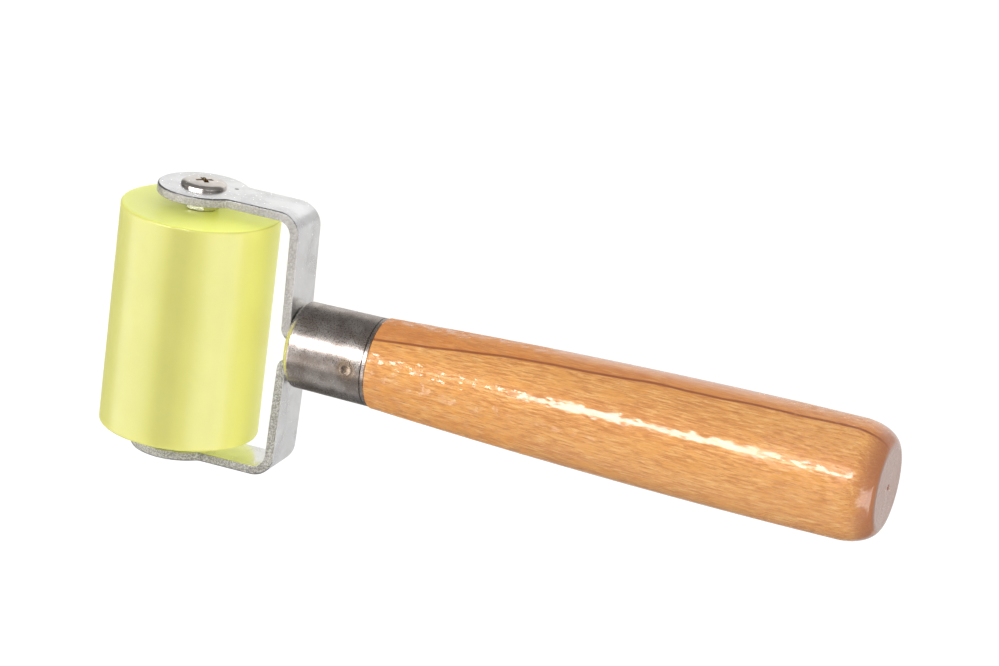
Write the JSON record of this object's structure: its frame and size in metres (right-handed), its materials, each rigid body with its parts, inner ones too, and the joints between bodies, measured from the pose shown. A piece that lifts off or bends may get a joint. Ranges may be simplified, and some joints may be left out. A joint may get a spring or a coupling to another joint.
{
  "type": "hand pressure roller",
  "caption": "Double-arm hand roller: a soft translucent silicone roller on ball bearings in a strip-steel fork, with a steel ferrule and a turned, lacquered wooden handle.",
  "frame": {"origin": "centre of the roller, on its spin axis midway between its two ends", "axes": "+X along the handle from the roller to the butt, +Y along the roller's spin axis towards the axle screw's head, +Z normal to the plane of the fork"},
  "size_m": [0.177, 0.0611, 0.035],
  "materials": {
    "silicone": "translucent lime-yellow silicone, satin",
    "hub_plastic": "natural nylon",
    "bearing_steel": "ground bearing steel",
    "ball_steel": "polished balls",
    "cage_plastic": "moulded nylon",
    "shield_steel": "pressed sheet steel",
    "spacer_steel": "turned steel",
    "screw_nickel": "nickel-plated, slightly warm",
    "nut_steel": "plated, bright flats",
    "strip_zinc": "bright zinc-plated strip with sheared edges",
    "ferrule_steel": "dark nickel-plated, satin",
    "handle_wood": "honey-coloured, glossy clear lacquer"
  },
  "bodies": {
    "frame": {"upper_bearing_inner_ring": "bearing_steel", "lower_bearing_inner_ring": "bearing_steel", "bearing_spacer": "spacer_steel", "end_spacers": "spacer_steel", "axle_screw": "screw_nickel", "lock_nuts": "nut_steel", "upper_fork_arm": "strip_zinc", "lower_fork_arm": "strip_zinc", "ferrule": "ferrule_steel", "handle": "handle_wood"},
    "roller": {"roller_tyre": "silicone", "roller_hub": "hub_plastic", "upper_bearing_outer_ring": "bearing_steel", "upper_bearing_shields": "shield_steel", "lower_bearing_outer_ring": "bearing_steel", "lower_bearing_shields": "shield_steel"},
    "ball_sets": {"upper_bearing_balls": "ball_steel", "upper_bearing_cage": "cage_plastic", "lower_bearing_balls": "ball_steel", "lower_bearing_cage": "cage_plastic"}
  },
  "joints": [
    {"name": "roller_spin", "type": "hinge", "parent": "frame", "child": "roller", "pos_m": [0, 0, 0], "axis": [0, 1, 0], "continuous": true},
    {"name": "ball_set_spin", "type": "hinge", "parent": "frame", "child": "ball_sets", "pos_m": [0, 0, 0], "axis": [0, 1, 0], "continuous": true}
  ],
  "couplings": [
    {"joint": "ball_set_spin", "follows": "roller_spin", "ratio": 0.625}
  ]
}
